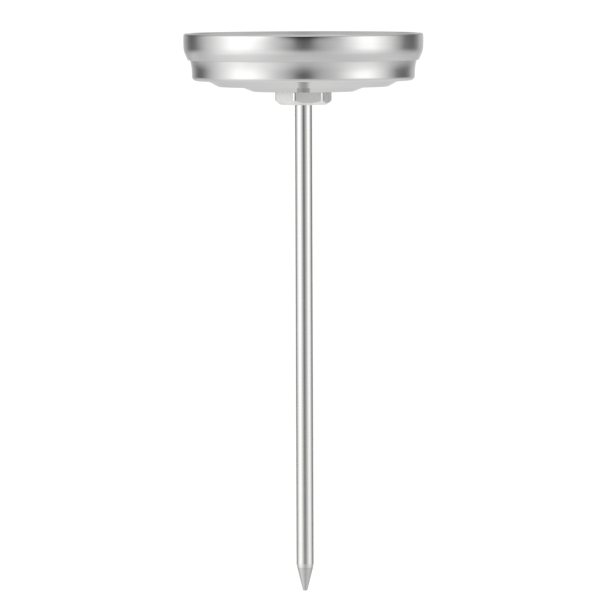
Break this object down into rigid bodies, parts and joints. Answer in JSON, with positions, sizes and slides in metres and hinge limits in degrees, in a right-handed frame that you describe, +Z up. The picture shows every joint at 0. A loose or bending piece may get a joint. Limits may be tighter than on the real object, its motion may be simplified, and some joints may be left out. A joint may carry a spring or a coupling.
{
  "type": "bimetal dial thermometer probe",
  "caption": "Stainless bimetal dial thermometer for soil: round sealed head with crimped bezel, hex for calibration, thin stem with a pointed tip.",
  "frame": {"origin": "where the stem comes out of the calibration hex, on the stem's axis and the hex's lower face", "axes": "+Z up the stem's axis, out of the dial; +Y towards the dial's 12 o'clock, +X towards its 3 o'clock"},
  "size_m": [0.053, 0.053, 0.1233],
  "materials": {
    "brushed_steel": "satin stainless sheet, fine circumferential polish",
    "machined_steel": "turned and milled stainless",
    "polished_steel": "bright drawn stainless tube and wire",
    "ground_steel": "matt ground stainless",
    "spring_steel": "hardened spring steel",
    "screw_steel": "nickel-plated steel",
    "glass": "clear flat instrument glass",
    "black_rubber": "matt black moulded rubber",
    "dial_white": "matt white enamel on aluminium, printed scales",
    "pressed_aluminium": "mill finish pressed sheet",
    "ring_black": "matt black moulded ring",
    "washer_nylon": "natural low-friction plastic",
    "bearing_plastic": "natural low-friction plastic",
    "bimetal": "rolled bimetal strip, slightly straw coloured",
    "brass": "turned brass",
    "pointer_black": "matt black paint"
  },
  "bodies": {
    "probe": {"calibration_hex": "machined_steel", "case_seal": "black_rubber", "thrust_washer": "washer_nylon", "spring_washer": "spring_steel", "retaining_ring": "spring_steel", "stem_tube": "polished_steel", "stem_tip": "ground_steel", "coil_anchor": "machined_steel", "bimetal_coil": "bimetal", "lower_bearing": "bearing_plastic", "upper_bearing": "bearing_plastic"},
    "head": {"case": "brushed_steel", "bezel": "brushed_steel", "lens": "glass", "lens_gasket": "black_rubber", "dial_plate": "dial_white", "dial_carrier": "pressed_aluminium", "dial_screws": "screw_steel", "dial_spacer_ring": "ring_black"},
    "pointer_assembly": {"pointer": "pointer_black", "pointer_hub": "brass", "spindle": "polished_steel", "coil_collar": "brass"}
  },
  "joints": [
    {"name": "calibration_turn", "type": "hinge", "parent": "probe", "child": "head", "pos_m": [0, 0, 0.003], "axis": [0, 0, 1], "continuous": true},
    {"name": "pointer_turn", "type": "hinge", "parent": "probe", "child": "pointer_assembly", "pos_m": [0, 0, 0.0112], "axis": [0, 0, -1], "range_deg": [-92.7, 207.3], "stiffness_Nm_per_rad": 0.0002}
  ]
}
